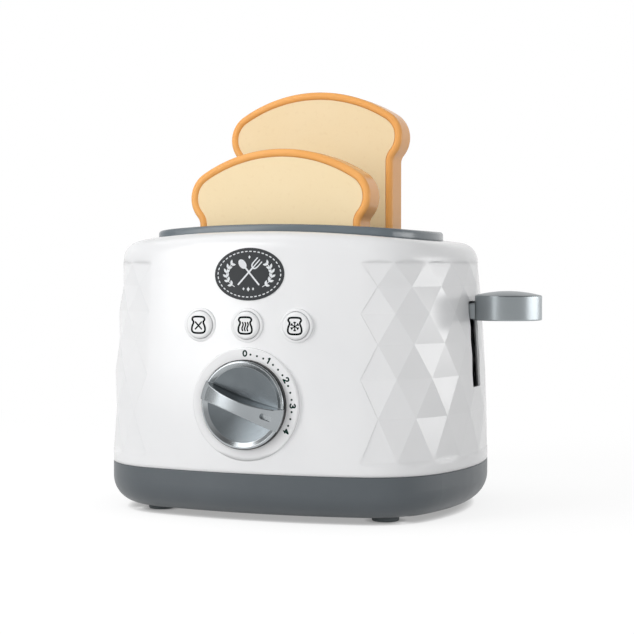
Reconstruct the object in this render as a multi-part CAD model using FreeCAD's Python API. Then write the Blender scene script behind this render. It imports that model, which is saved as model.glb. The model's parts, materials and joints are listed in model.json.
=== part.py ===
import FreeCAD, Part
import os
from math import asin, atan2, cos, degrees, hypot, pi, sin, sqrt

# Toy pop-up toaster, in millimetres. X runs along its length with the lever at +X, the
# controls face -Y and Z is up. The origin is the middle of the plane its feet stand on.

V = FreeCAD.Vector
up = V(0, 0, 1)
outX = V(1, 0, 0)
inward = V(0, 1, 0)

# Housing outline: an oval of end, corner and front arcs
halfLength = 100.0
halfDepth = 81.0
frontRadius = 290.0
endRadius = 137.0
cornerRadius = 46.0
coreInset = 20.0            # inside this inset the housing's blocks are plain prisms

# Housing heights above the table, and its wall
baseBottom = 3.0
seam = 25.0
crownTop = 147.3            # the white housing's highest line, over x = 0
crownRadius = 665.0
shoulderRadius = 10.0
sideRadius = 1030.0         # the walls lean in on this large arc, upright at the seam
wall = 3.0
baseBend = 14.0
seamEdge = 0.6              # rounds the housing's lower edge
seamBevel = 0.45            # and this bevels the base's, so a fine groove runs between them
tongue = 3.0                # the base's lip that stands up inside the housing

# Facets on both ends
facetBottom = 31.8
facetFirstRow = 22.0
facetRowRatio = 0.885
facetRows = 6
facetSteps = 16             # half triangles round one end
facetHalfSpan = 93.0        # along the outline, from the end's middle to the first corner
facetBunching = 0.26        # how much the columns close up towards the front
facetInset = 0.08
facetReach = 6.0            # how far outside the housing the planing tool's lattice starts
facetFlare = 6.0            # and how far above and below, which slopes the end rows' ledges

# Top bezel
bezelInset = 24.6
bezelRise = 3.9
bezelCrown = 850.0          # its top is flatter than the housing's
bezelEdge = 1.8
openingInset = 28.0
skirtThick = 2.0
belowBezel = 120.0          # where cutters for the top opening and its slots start and end
aboveBezel = 160.0
slotHalfLength = 54.0
slotHalfWidth = 10.75
slotCorner = 4.0
slotEdge = 1.2
slotPitch = 55.0
slotRows = (-slotPitch / 2, slotPitch / 2)

# Toy bread: a crust ring closed by two thin crumb faces
sliceHalfWidth = 50.8
sliceHeight = 90.0
sliceThick = 18.5
domeRadius = 82.0
lobeRadius = 15.4
waistRadius = 6.0
neckHalfWidth = 45.6
sliceFoot = 5.0
crustWidth = 4.2
crustEdge = 2.1             # the crust's face is a round bead between these two
crustInnerEdge = 1.8
crumbRecess = 1.0
crumbThick = 2.4
frontSliceTop = 191.4
rearSliceRise = 35.3        # the rear slice is drawn this much further out

# Wells that hold the bread below the bezel, one for each slot
wellLow = 52.0
wellHigh = 139.0
wellHalfLength = 55.0
wellHalfWidth = sliceThick / 2 + 0.3
wellWall = 1.8
wellBar = 4.0               # half the width of the bars that stand on the base's posts
wellPostX = 48.0
slitHalfWidth = 6.5         # the slit for the carriage's shelf
slitTop = 114.0

# Lever and its paddle
leverTravel = 34.5
leverLow = 101.6
leverHigh = 110.1
leverHalfWidth = 6.8
leverJoint = 80.0           # where the lever arm meets the carriage's beam
tongueHalfWidth = 3.0
tongueInset = 2.0
tenonHalfWidth = 4.0
slotClear = 1.0
leverSlotHalfWidth = 7.6
slotWall = 1.7              # the wall is thinner round the lever's slot
slotPocket = 3.0            # and this far past it
paddleX = 115.0
paddleRadius = 17.8
paddleLow = 101.2
paddleHigh = 114.1
paddleDome = 2.4
paddleBack = 99.5           # its flat side, which passes the housing's wall
paddleEdge = 0.7
leverScrewX = paddleX - 6.0
leverScrewHead = 2.3
leverHeadThick = 1.4

# Carriage on its two rods
runningFit = 0.05
rodX = 67.0
rodY = 21.0
rodRadius = 1.5
rodTop = 134.0
springSeat = 12.0
shelfTop = frontSliceTop - sliceHeight
shelfEnd = -51.0
shelfHalfWidth = 5.0
carriageLow = 88.0
carriageHigh = 113.0
carriageX = 59.0
bossRadius = 4.2
bossLow = 90.0
toothOut = 65.0

# Latch
pawlX = 74.0
pawlZ = 20.0
pawlTip = 65.6
pawlHookLow = 57.2
pawlTop = 60.0
pawlHalfWidth = 3.2
pinRadius = 1.5
latchPinHalf = 6.5

# Dial, on the line x = 0 like the other controls
dialZ = 60.0
dialPlateRadius = 28.6
dialPlateProud = 1.2
dialPlateEdge = 0.7
dialHubRadius = 10.0
knobRadius = 22.2
knobDepth = 4.0
knobGap = 0.4
knobEdge = 1.0
knobRimThick = 1.6          # the silver rim's side; a black skirt fills in behind it
skirtRadius = 22.6
skirtInner = 20.6
bevelRim = 21.1             # the dish: a bevelled ring round a shallow bowl
bevelDeep = 1.2
dishRim = 19.0
dishDeep = 2.9
gripTail = 4.0              # half widths of the grip bar at its two ends
gripNose = 5.1
gripWaistAbove = 2.6        # and at its middle, on the side turned up and the side turned down
gripWaistBelow = 3.9
gripProud = 7.4             # its highest point in front of the rim
gripArch = 48.0
gripDraft = 1.4             # how much wider each flank is at its foot
gripSlope = 7.4             # the ends lean in by this over the bar's height
gripEdge = 0.5
markRadius = 1.45
markFrom = 14.2
markTo = 17.6
markDeep = 1.1
pointerAngle = 109.5        # clockwise from twelve o'clock, seen from the front
spindleRadius = 3.0
spindleTip = 2.0            # its end, thinner than the grip bar that it is pressed into
spindleSocket = 5.0
spindleLength = 25.0

# Click box behind the dial
timerFront = -72.6
timerBack = -60.0
timerHalf = 17.0
timerWall = 1.8
timerEarY = -68.0
earThick = 2.0
wheelRadius = 13.0
wheelY = -69.0
wheelThick = 3.2
wheelNotches = 24
notchRadius = 0.9
leafThick = 0.4

# Buttons
buttonZ = 99.7
buttonPitch = 26.2
buttonRadius = 7.0
buttonProud = 3.0
buttonEdge = 1.4
buttonGap = 0.25
flangeRadius = 8.7
flangeThick = 1.5
flangeGap = 1.4             # from the wall's back, on the button's axis
stemRadius = 2.2
bracketY = -66.0
bracketThick = 2.5
collarRadius = 8.6
collarProud = 1.2
collarEdge = 0.6
buttonRows = (("cancel", -1), ("reheat", 0), ("defrost", 1))

# Posts inside the front wall: the button bracket's pair and the click box's pair
postRadius = 3.5
postEnd = -68.0
bracketPosts = ((-41.0, buttonZ), (41.0, buttonZ))
timerPosts = ((-30.0, 70.0), (30.0, 70.0))

# Badge, feet and the screws through the base
badgeZ = 125.4
badgeHalfWidth = 18.9
badgeHalfHeight = 13.3
badgeProud = 0.3
feetX = 63.0
feetY = 47.0
footRadius = 7.0
footEdge = 0.8
footPegRadius = 2.5
bossX = 73.5
bossY = 52.0
postOuter = 4.5
screwRadius = 1.5
screwHead = 3.4
screwLength = 32.0

# Small screws inside, and cutters that start in front of everything and pass the wall
smallScrewRadius = 1.2
smallScrewHole = 1.4
smallScrewHead = 2.6
smallHeadThick = 1.8
beforeFront = -90.0
throughWall = 20.0


def ovalArcs():
    """The outline's eight arcs as (centre x, centre y, radius, start, end), anticlockwise."""
    endX = halfLength - endRadius
    backY = halfDepth - frontRadius
    toEnd = endRadius - cornerRadius
    toBack = frontRadius - cornerRadius
    span = hypot(endX, backY)
    along = (toBack ** 2 - toEnd ** 2 + span ** 2) / (2 * span)
    across = sqrt(toBack ** 2 - along ** 2)
    ux, uy = endX / span, -backY / span
    cornerX = ux * along + uy * across
    cornerY = backY + uy * along - ux * across
    steep = atan2(cornerY - backY, cornerX)
    shallow = atan2(cornerY, cornerX - endX)
    return [
        (endX, 0, endRadius, -shallow, shallow),
        (cornerX, cornerY, cornerRadius, shallow, steep),
        (0, backY, frontRadius, steep, pi - steep),
        (-cornerX, cornerY, cornerRadius, pi - steep, pi - shallow),
        (-endX, 0, endRadius, pi - shallow, pi + shallow),
        (-cornerX, -cornerY, cornerRadius, pi + shallow, pi + steep),
        (0, -backY, frontRadius, pi + steep, 2 * pi - steep),
        (cornerX, -cornerY, cornerRadius, 2 * pi - steep, 2 * pi - shallow),
    ]


arcs = ovalArcs()


# Shapes that carry the outline

def onArc(arc, angle, inset, z):
    x, y, radius = arc[:3]
    return V(x + (radius - inset) * cos(angle), y + (radius - inset) * sin(angle), z)


def edgeThrough(points):
    if len(points) == 2:
        return Part.makeLine(*points)
    return Part.Arc(*points).toShape()


def ovalPrism(inset, low, high):
    edges = []
    for arc in arcs:
        start, end = arc[3:]
        edges.append(edgeThrough([onArc(arc, a, inset, low)
                                  for a in (start, (start + end) / 2, end)]))
    return Part.Face(Part.Wire(edges)).extrude(V(0, 0, high - low))


def ring(profile):
    """A closed section of (inset, z) lines and arcs, carried round the outline."""
    sectors = []
    for arc in arcs:
        edges = [edgeThrough([onArc(arc, arc[3], *p) for p in piece]) for piece in profile]
        face = Part.Face(Part.Wire(edges))
        sectors.append(face.revolve(V(arc[0], arc[1], 0), up, degrees(arc[4] - arc[3])))
    return joined(sectors)


def closedSection(points):
    """Straight pieces through the points and back to the first."""
    return [list(pair) for pair in zip(points, points[1:] + points[:1])]


def sideInset(z):
    return sideRadius - sqrt(sideRadius ** 2 - (z - seam) ** 2)


def wallLine(offset, low, high):
    return [(sideInset(z) + offset, z) for z in (low, (low + high) / 2, high)]


def frontY(x, z):
    """The housing's front surface at x and height z."""
    reach = frontRadius - sideInset(z)
    return frontRadius - halfDepth - sqrt(reach ** 2 - x ** 2)


def crown(top, radius=crownRadius):
    """Everything under the crowned surface whose highest line is at z = top."""
    drum = Part.makeCylinder(radius, 4 * halfDepth,
                             V(0, -2 * halfDepth, top - radius), inward)
    drum.rotate(V(0, 0, top - radius), inward, 90)     # its seam line stays off the top
    return drum


def crownFace(shape, top, radius=crownRadius):
    """The face of a shape that lies on the crown with that top."""
    centre = V(0, 0, top - radius)
    for face in shape.Faces:
        if isinstance(face.Surface, Part.Cylinder):
            middle = face.valueAt(*[sum(face.ParameterRange[i:i + 2]) / 2 for i in (0, 2)])
            if abs(hypot(middle.x, middle.z - centre.z) - radius) < 0.01:
                return face
    raise ValueError("no crowned face")


# Plain shapes

def rod(radius, start, axis, length):
    return Part.makeCylinder(radius, length, start, axis)


def block(x0, x1, y0, y1, z0, z1):
    return Part.makeBox(x1 - x0, y1 - y0, z1 - z0, V(x0, y0, z0))


def joined(shapes):
    shape = shapes[0].multiFuse(shapes[1:]).removeSplitter()
    return shape.Solids[0] if len(shape.Solids) == 1 else shape


def drilled(shape, tools):
    for tool in tools:
        shape = shape.cut(tool)
    return shape


def rounded(shape, radius, choose):
    return shape.makeFillet(radius, [e for e in shape.Edges if choose(e)])


def along(edge, axis):
    return abs(edge.tangentAt(edge.FirstParameter).dot(axis)) > 0.9


def fourWays(x, y):
    return [(sx * x, sy * y) for sx in (-1, 1) for sy in (-1, 1)]


def panScrew(start, axis, headRadius, headThick, shankRadius, length):
    """A self-tapping screw: its head starts at a point and its shank runs on from it."""
    crossDeep, crossWide, crossLong = 0.8, 0.8, headRadius * 1.1
    head = rod(headRadius, V(0, 0, 0), up, headThick)
    shank = rod(shankRadius, V(0, 0, headThick - 0.1), up, length)
    for long, wide in ((crossLong, crossWide), (crossWide, crossLong)):
        head = head.cut(block(-long / 2, long / 2, -wide / 2, wide / 2, -1, crossDeep))
    screw = joined([head, shank])
    if axis.z < 0.9:
        screw.rotate(V(0, 0, 0), outX, -degrees(atan2(axis.y, axis.z)))
    screw.translate(start)
    return screw


def coilSpring(start, axis, length, radius, wire, turns):
    """A round-wire helix that just fits between two flat seats."""
    endGap = 0.6 * wire
    pitch = (length - 2 * endGap) / turns
    helix = Part.makeHelix(pitch, pitch * turns, radius)
    section = Part.Wire(Part.makeCircle(wire / 2, V(radius, 0, 0), inward))
    spring = Part.Wire(helix).makePipeShell([section], True, True)
    spring.translate(V(0, 0, endGap))
    if axis.z < 0.9:
        spring.rotate(V(0, 0, 0), outX, -degrees(atan2(axis.y, axis.z)))
    spring.translate(start)
    return spring


# Housing

def fullBlock(offset, low, high):
    """A solid with the housing's leaning wall, inset by an offset, and a flat top."""
    profile = [wallLine(offset, low, high),
               [(sideInset(high) + offset, high), (coreInset, high)],
               [(coreInset, high), (coreInset, low)],
               [(coreInset, low), (sideInset(low) + offset, low)]]
    return joined([ring(profile), ovalPrism(coreInset - 1, low, high)])


def outerBlock():
    solid = fullBlock(0, seam, crownTop + 4).common(crown(crownTop))
    solid = solid.makeFillet(shoulderRadius, crownFace(solid, crownTop).OuterWire.Edges)
    return rounded(solid, seamEdge, lambda e: e.BoundBox.ZMax < seam + 0.1)


def innerBlock():
    """The hollow: its wall leans in under the shoulder so that the wall keeps its depth."""
    low, lean, high, flat = seam - 1, 131.0, crownTop, coreInset - 2
    profile = [wallLine(wall, low, lean),
               [(sideInset(lean) + wall, lean), (flat, high)],
               [(flat, high), (coreInset, high)],
               [(coreInset, high), (coreInset, low)],
               [(coreInset, low), (sideInset(low) + wall, low)]]
    solid = joined([ring(profile), ovalPrism(coreInset - 1, low, high)])
    return solid.common(crown(crownTop - wall))


def outlineSpot(distance):
    """The arc and angle at a distance along the outline from the middle of the +X end."""
    end, corner, back = arcs[:3]
    first = end[2] * end[4]
    second = first + corner[2] * (corner[4] - corner[3])
    if distance <= first:
        return end, distance / end[2]
    if distance <= second:
        return corner, corner[3] + (distance - first) / corner[2]
    return back, back[3] + (distance - second) / back[2]


def facetPoint(step, z, outward, lift):
    """A lattice corner, or the point outside it that the cutter reaches."""
    share = min(step, facetSteps - step) / (facetSteps / 2)
    distance = facetHalfSpan * (1 - (1 - facetBunching) * share - facetBunching * share ** 2)
    arc, angle = outlineSpot(distance)
    point = onArc(arc, angle, sideInset(z) + facetInset - outward, z + lift)
    return V(point.x, point.y if step > facetSteps / 2 else -point.y, point.z)


def facetCutter():
    """What is planed off the +X end: the space outside a lattice of flat triangles."""
    heights = [facetBottom]
    for row in range(facetRows):
        heights.append(heights[-1] + facetFirstRow * facetRowRatio ** row)
    flares = {0: -facetFlare, facetRows: facetFlare}

    def corner(row, step, outside):
        if outside:
            return facetPoint(step, heights[row], facetReach, flares.get(row, 0))
        return facetPoint(step, heights[row], 0, 0)

    cells = []
    rim = []
    for row in range(facetRows):
        shift = row % 2             # odd rows start half a triangle in
        for step in range(facetSteps - 1):
            if step % 2 == shift:
                cells.append([(row, step), (row, step + 2), (row + 1, step + 1)])
            else:
                cells.append([(row + 1, step), (row, step + 1), (row + 1, step + 2)])
        rim.append([(row, shift), (row + 1, 1 - shift)])
        rim.append([(row, facetSteps - shift), (row + 1, facetSteps - 1 + shift)])
    for step in range(0, facetSteps, 2):
        for row in (0, facetRows):
            rim.append([(row, step), (row, step + 2)])

    triangles = []
    for cell in cells:
        for outside in (False, True):
            triangles.append([corner(*spot, outside) for spot in cell])
    for a, b in rim:
        triangles.append([corner(*a, False), corner(*b, False), corner(*b, True)])
        triangles.append([corner(*a, False), corner(*b, True), corner(*a, True)])
    faces = [Part.Face(Part.makePolygon(t + t[:1])) for t in triangles]
    return Part.Solid(Part.makeShell(faces))


def shellPosts():
    """Screw posts: four webbed to the corners, and two pairs behind the front wall."""
    height, webHalf, webLong = 22.0, 1.2, 20.0
    webLow = seam + tongue + 0.5
    posts = []
    for x, y in fourWays(bossX, bossY):
        posts.append(rod(postOuter, V(x, y, seam), up, height))
        web = block(0, webLong, -webHalf, webHalf, webLow, seam + height)
        web.rotate(V(0, 0, 0), up, degrees(atan2(y, x)))
        web.translate(V(x, y, 0))
        posts.append(web)
    for x, z in bracketPosts + timerPosts:
        start = frontY(x, z) + 1
        posts.append(rod(postRadius, V(x, start, z), inward, postEnd - start))
    return posts


def leverSlot():
    """The lever's slot, and the pocket behind it that leaves the wall thinner there."""
    near, far = halfLength - throughWall, halfLength + throughWall
    low = leverLow - leverTravel - slotClear
    high = leverHigh + slotClear
    slot = block(near, far, -leverSlotHalfWidth, leverSlotHalfWidth, low, high)
    pocketHalf = leverSlotHalfWidth + slotPocket
    pocket = block(near, far, -pocketHalf, pocketHalf, low - slotPocket, high + slotPocket)
    pocket = pocket.common(fullBlock(slotWall, seam, belowBezel))
    return joined([rounded(slot, 1.0, lambda e: along(e, outX)), pocket])


def buttonCollar(x):
    """The low ring round a button."""
    face = frontY(x, buttonZ) - collarProud
    collar = rod(collarRadius, V(x, face, buttonZ), inward, collarProud + 2)
    return rounded(collar, collarEdge, lambda e: e.BoundBox.YMax < face + 0.1)


def bodyShell(outer, inner):
    hollow = outer.cut(inner).cut(ovalPrism(openingInset, belowBezel, aboveBezel))
    shell = joined([hollow] + [post.common(outer) for post in shellPosts()])
    cutter = facetCutter()
    shell = drilled(shell, [cutter, cutter.mirror(V(0, 0, 0), outX)])
    shell = joined([shell] + [buttonCollar(k * buttonPitch) for _, k in buttonRows])
    holes = [leverSlot(), rod(dialHubRadius, V(0, beforeFront, dialZ), inward, throughWall)]
    for x, y in fourWays(bossX, bossY):
        holes.append(rod(screwRadius, V(x, y, seam - 1), up, throughWall - 2))
    for _, k in buttonRows:
        start = V(k * buttonPitch, beforeFront, buttonZ)
        holes.append(rod(buttonRadius + buttonGap, start, inward, throughWall))
    for x, z in bracketPosts + timerPosts:
        holes.append(rod(smallScrewRadius, V(x, postEnd - 6, z), inward, 10))
    return drilled(shell, holes)


# Base

def baseSection():
    """Outer wall, bend and floor, with a tongue that stands up inside the housing."""
    half = sqrt(0.5)
    bend = baseBottom + baseBend
    inner = baseBend - wall
    floor = baseBottom + wall
    lip = wall + 0.2
    straight = closedSection([(baseBend, floor), (coreInset + 2, floor),
                              (coreInset + 2, baseBottom), (baseBend, baseBottom)])[:3]
    outerBend = [(baseBend, baseBottom),
                 (baseBend * (1 - half), bend - baseBend * half), (0, bend)]
    innerBend = [(wall, bend),
                 (baseBend - inner * half, bend - inner * half), (baseBend, floor)]
    rise = closedSection([(0, bend), (0, seam - seamBevel), (seamBevel, seam), (lip, seam),
                          (lip, seam + tongue), (lip + 2, seam + tongue), (lip + 2, bend),
                          (wall, bend)])[:7]
    return straight + [outerBend] + rise + [innerBend]


def baseTray():
    floor = baseBottom + wall
    into = floor - 1
    cheekHalf, cheekNear, cheekFar = 4.0, pawlHalfWidth + 0.3, latchPinHalf
    parts = [ring(baseSection()), ovalPrism(coreInset, baseBottom, floor)]
    for x, y in fourWays(wellPostX, slotPitch / 2):
        parts.append(rod(postRadius, V(x, y, into), up, wellLow - into))
    for y in (-rodY, rodY):
        parts.append(rod(bossRadius, V(rodX, y, into), up, springSeat - into))
    for near, far in ((-cheekFar, -cheekNear), (cheekNear, cheekFar)):
        parts.append(block(pawlX - cheekHalf, pawlX + cheekHalf, near, far,
                           into, pawlZ + cheekHalf))
    for x, y in fourWays(bossX, bossY):
        parts.append(rod(postOuter, V(x, y, into), up, seam - into))
    tray = joined(parts)
    holes = [rod(pinRadius, V(pawlX, -latchPinHalf - 1, pawlZ), inward, 2 * latchPinHalf + 2)]
    for x, y in fourWays(bossX, bossY):
        holes.append(rod(screwRadius + 0.3, V(x, y, 0), up, 30))
        holes.append(rod(screwHead + 0.2, V(x, y, 0), up, floor))
    for x, y in fourWays(feetX, feetY):
        holes.append(rod(footPegRadius, V(x, y, 0), up, 12))
    for y in (-rodY, rodY):
        holes.append(rod(rodRadius, V(rodX, y, floor), up, 20))
    return drilled(tray, holes)


def rubberFeet():
    pads = []
    for x, y in fourWays(feetX, feetY):
        pad = rod(footRadius, V(x, y, 0), up, baseBottom)
        pad = rounded(pad, footEdge, lambda e: e.BoundBox.ZMax < 0.1)
        pads.append(joined([pad, rod(footPegRadius, V(x, y, baseBottom - 1), up, wall + 3)]))
    return Part.makeCompound(pads)


def baseScrews():
    sunk, headThick = baseBottom + 0.8, 2.2
    return Part.makeCompound([panScrew(V(x, y, sunk), up, screwHead, headThick, screwRadius,
                                       screwLength) for x, y in fourWays(bossX, bossY)])


# Top bezel and the wells below it

def slotBlock(y, grow, low, high):
    length, width = slotHalfLength + grow, slotHalfWidth + grow
    solid = block(-length, length, y - width, y + width, low, high)
    return rounded(solid, slotCorner + grow, lambda e: along(e, up))


def topBezel():
    top = crownTop + bezelRise
    skirtInset = openingInset + 0.2
    plate = ovalPrism(bezelInset, belowBezel, aboveBezel).common(crown(top, bezelCrown))
    plate = plate.cut(crown(crownTop))
    plate = plate.makeFillet(bezelEdge, crownFace(plate, top, bezelCrown).OuterWire.Edges)
    skirt = ovalPrism(skirtInset, wellHigh, aboveBezel)
    skirt = skirt.cut(ovalPrism(skirtInset + skirtThick, wellHigh, aboveBezel))
    collars = [slotBlock(y, skirtThick, wellHigh, aboveBezel) for y in slotRows]
    under = crown(crownTop + 0.5)
    bezel = joined([plate] + [part.common(under) for part in [skirt] + collars])
    bezel = drilled(bezel, [slotBlock(y, 0, belowBezel, aboveBezel) for y in slotRows])
    rims = [wire for wire in crownFace(bezel, top, bezelCrown).Wires
            if wire.BoundBox.XLength < 2 * slotHalfLength + 1]
    return bezel.makeFillet(slotEdge, [edge for rim in rims for edge in rim.Edges])


def breadWell(y):
    """An open well that the bread just fits, slit at one end for the carriage's shelf."""
    length, width = wellHalfLength + wellWall, wellHalfWidth + wellWall
    well = block(-length, length, y - width, y + width, wellLow, wellHigh)
    well = drilled(well, [
        block(-wellHalfLength, wellHalfLength, y - wellHalfWidth, y + wellHalfWidth,
              wellLow, wellHigh),
        block(wellHalfLength - 1, length + 1, y - slitHalfWidth, y + slitHalfWidth,
              wellLow, slitTop)])
    bars = [block(x - wellBar, x + wellBar, y - width + 1, y + width - 1, wellLow, wellLow + 2)
            for x in (-wellPostX, wellPostX)]
    return joined([well] + bars)


# Carriage and lever

def carriage():
    plate = carriageX + wall
    ribDeep, ribHalf = 9.0, 1.0
    parts = [block(carriageX, plate, -36, 36, carriageLow, carriageHigh)]
    for y in slotRows:
        parts.append(block(shelfEnd, plate - 1, y - shelfHalfWidth, y + shelfHalfWidth,
                           shelfTop - 3, shelfTop))
        parts.append(block(shelfEnd + 5, plate - 1, y - ribHalf, y + ribHalf,
                           shelfTop - ribDeep, shelfTop - 2))
    for y in (-rodY, rodY):
        parts.append(rod(bossRadius, V(rodX, y, bossLow), up, carriageHigh - 1 - bossLow))
        parts.append(block(plate - 1, rodX, y - 1.5, y + 1.5, bossLow + 1, carriageHigh - 2))
    parts.append(block(plate - 1, toothOut, -5, 5, carriageLow, carriageLow + 3))
    parts.append(block(plate - 1, leverJoint, -leverHalfWidth, leverHalfWidth,
                       leverLow, leverHigh))
    holes = [rod(rodRadius + runningFit, V(rodX, y, carriageLow - 5), up, 40)
             for y in (-rodY, rodY)]
    holes.append(block(leverJoint - 10, leverJoint + 1, -tongueHalfWidth, tongueHalfWidth,
                       leverLow + tongueInset, leverHigh - tongueInset))
    return drilled(joined(parts), holes)


def leverArm():
    """The stem that runs out through the side slot, a tongue and a tenon at its ends."""
    low, high = leverLow + tongueInset, leverHigh - tongueInset
    stem = block(leverJoint, paddleBack, -leverHalfWidth, leverHalfWidth, leverLow, leverHigh)
    stem = rounded(stem, 0.8, lambda e: along(e, outX))
    inner = block(leverJoint - 10, leverJoint + 1, -tongueHalfWidth, tongueHalfWidth, low, high)
    tenon = block(paddleBack - 1, paddleX, -tenonHalfWidth, tenonHalfWidth, low, high)
    bore = rod(smallScrewRadius, V(leverScrewX, 0, leverLow), up, 5)
    return joined([stem, inner, tenon]).cut(bore)


def leverPaddle():
    """A round paddle with a shallow dome, flat where it passes the housing."""
    disc = rod(paddleRadius, V(paddleX, 0, paddleLow), up, paddleHigh - paddleLow)
    sphere = (paddleRadius ** 2 + paddleDome ** 2) / (2 * paddleDome)
    dome = Part.makeSphere(sphere, V(paddleX, 0, paddleHigh + paddleDome - sphere))
    cap = rod(paddleRadius, V(paddleX, 0, paddleHigh - 0.5), up, paddleDome + 1)
    paddle = joined([disc, cap.common(dome)])
    reach = 2 * paddleRadius
    paddle = paddle.cut(block(paddleBack - reach, paddleBack, -reach, reach,
                              paddleLow - 1, paddleHigh + reach))
    paddle = rounded(paddle, paddleEdge, lambda e: e.BoundBox.ZLength < 0.2 and e.Length > 10)
    return drilled(paddle, [
        block(paddleBack - 1, paddleX, -tenonHalfWidth, tenonHalfWidth,
              leverLow + tongueInset, leverHigh - tongueInset),
        rod(leverScrewHead + 0.1, V(leverScrewX, 0, paddleLow - 1), up, leverHeadThick + 1),
        rod(smallScrewRadius, V(leverScrewX, 0, paddleLow), up, 4)])


def leverScrew():
    return panScrew(V(leverScrewX, 0, paddleLow), up, leverScrewHead, leverHeadThick,
                    smallScrewRadius, 4)


def guideRods():
    low = baseBottom + wall
    return Part.makeCompound([rod(rodRadius, V(rodX, y, low), up, rodTop - low)
                              for y in (-rodY, rodY)])


def returnSprings():
    length = bossLow - springSeat
    return Part.makeCompound([coilSpring(V(rodX, y, springSeat), up, length, 2.9, 0.7, 14)
                              for y in (-rodY, rodY)])


def latchPawl():
    """A hook that swings over the carriage's tooth to hold the bread down."""
    arm = block(pawlX - 2, pawlX + 2, -pawlHalfWidth, pawlHalfWidth, pawlZ, pawlTop)
    hub = rod(3.6, V(pawlX, -pawlHalfWidth, pawlZ), inward, 2 * pawlHalfWidth)
    hook = block(pawlTip, pawlX, -pawlHalfWidth, pawlHalfWidth, pawlHookLow, pawlTop)
    bore = rod(pinRadius + runningFit, V(pawlX, -5, pawlZ), inward, 10)
    return joined([arm, hub, hook]).cut(bore)


def latchPin():
    return rod(pinRadius, V(pawlX, -latchPinHalf, pawlZ), inward, 2 * latchPinHalf)


# Dial and the click box behind it

def dialPlate(outer):
    """The raised scale plate, its back fitted to the housing's curve, with a bearing hub."""
    face = frontY(0, dialZ) - dialPlateProud
    disc = rod(dialPlateRadius, V(0, face, dialZ), inward, 12)
    disc = rounded(disc, dialPlateEdge, lambda e: e.BoundBox.YMax < face + 0.1)
    hub = rod(dialHubRadius, V(0, face + 1, dialZ), inward, 8)
    bearing = rod(spindleRadius + runningFit, V(0, beforeFront, dialZ), inward, throughWall)
    return joined([disc.cut(outer), hub]).cut(bearing)


def knobFront():
    return frontY(0, dialZ) - dialPlateProud - knobGap - knobDepth


def towardPointer(shape):
    shape.rotate(V(0, 0, dialZ), inward, pointerAngle)
    return shape


def gripOutline(y, grow):
    """The bar's waisted outline in the plane y, drawn upright with its nose at the top."""
    half = knobRadius + 0.3
    low, high = dialZ - half, dialZ + half
    tail, nose = gripTail + grow, gripNose + grow
    return Part.Wire([
        edgeThrough([V(-tail, y, low), V(tail, y, low)]),
        edgeThrough([V(tail, y, low), V(gripWaistBelow + grow, y, dialZ), V(nose, y, high)]),
        edgeThrough([V(nose, y, high), V(-nose, y, high)]),
        edgeThrough([V(-nose, y, high), V(-gripWaistAbove - grow, y, dialZ),
                     V(-tail, y, low)])])


def gripBar():
    """The arched bar across the dish: its flanks have draft and its ends lean in."""
    front = knobFront() - gripProud
    back = knobFront() + knobDepth - 1
    half = knobRadius + 0.3
    bar = Part.makeLoft([gripOutline(back, gripDraft), gripOutline(front, 0)], True, True)
    arch = rod(gripArch, V(-half, front + gripArch, dialZ), outX, 2 * half)
    room = joined([Part.makeCone(half - gripSlope, half, gripProud, V(0, front, dialZ), inward),
                   rod(half, V(0, knobFront(), dialZ), inward, knobRimThick),
                   rod(skirtInner, V(0, knobFront(), dialZ), inward, back - knobFront())])
    bar = bar.common(arch).common(room)
    return rounded(bar, gripEdge, lambda e: e.BoundBox.YMax < knobFront() - 0.5)


def pointerMark():
    """A long dimple near the bar's nose, drawn upright."""
    middle = (markFrom + markTo) / 2
    drop = gripArch - sqrt(gripArch ** 2 - middle ** 2)
    face = knobFront() - gripProud + drop + markDeep
    start = V(0, face - gripProud, dialZ)
    ends = [rod(markRadius, start + up * r, inward, gripProud) for r in (markFrom, markTo)]
    slot = block(-markRadius, markRadius, start.y, face, dialZ + markFrom, dialZ + markTo)
    return joined(ends + [slot])


def dialKnob():
    """A silver cap: a rim, a bevelled ring and a bowl, crossed by the grip bar."""
    front = knobFront()
    cup = rod(knobRadius, V(0, front, dialZ), inward, knobRimThick)
    cup = rounded(cup, knobEdge, lambda e: e.BoundBox.YMax < front + 0.1)
    cup = joined([cup, rod(skirtInner, V(0, front + 1, dialZ), inward, knobDepth - 1)])
    bevel = Part.makeCone(bevelRim, dishRim, bevelDeep, V(0, front, dialZ), inward)
    bowl = dishDeep - bevelDeep
    sphere = (dishRim ** 2 + bowl ** 2) / (2 * bowl)
    dish = Part.makeSphere(sphere, V(0, front + dishDeep - sphere, dialZ))
    dish = dish.common(rod(dishRim, V(0, front, dialZ), inward, knobDepth))
    knob = joined([drilled(cup, [bevel, dish]), towardPointer(gripBar())])
    socket = rod(spindleTip, V(0, front + knobDepth - spindleSocket, dialZ), inward,
                 spindleSocket)
    return drilled(knob, [towardPointer(pointerMark()), socket])


def knobSkirt():
    """The black ring behind the knob's rim."""
    start = V(0, knobFront() + knobRimThick, dialZ)
    deep = knobDepth - knobRimThick
    return rod(skirtRadius, start, inward, deep).cut(rod(skirtInner, start, inward, deep))


def dialSpindle():
    shoulder = knobFront() + knobDepth
    tip = rod(spindleTip, V(0, shoulder - spindleSocket, dialZ), inward, spindleSocket + 1)
    return joined([tip, rod(spindleRadius, V(0, shoulder, dialZ), inward, spindleLength)])


def clickWheel():
    wheel = rod(wheelRadius, V(0, wheelY, dialZ), inward, wheelThick)
    notches = []
    for i in range(wheelNotches):
        a = 2 * pi * i / wheelNotches
        at = V(wheelRadius * cos(a), wheelY, dialZ + wheelRadius * sin(a))
        notches.append(rod(notchRadius, at, inward, wheelThick))
    return drilled(wheel, notches + [rod(spindleRadius, V(0, wheelY, dialZ), inward, 4)])


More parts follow.
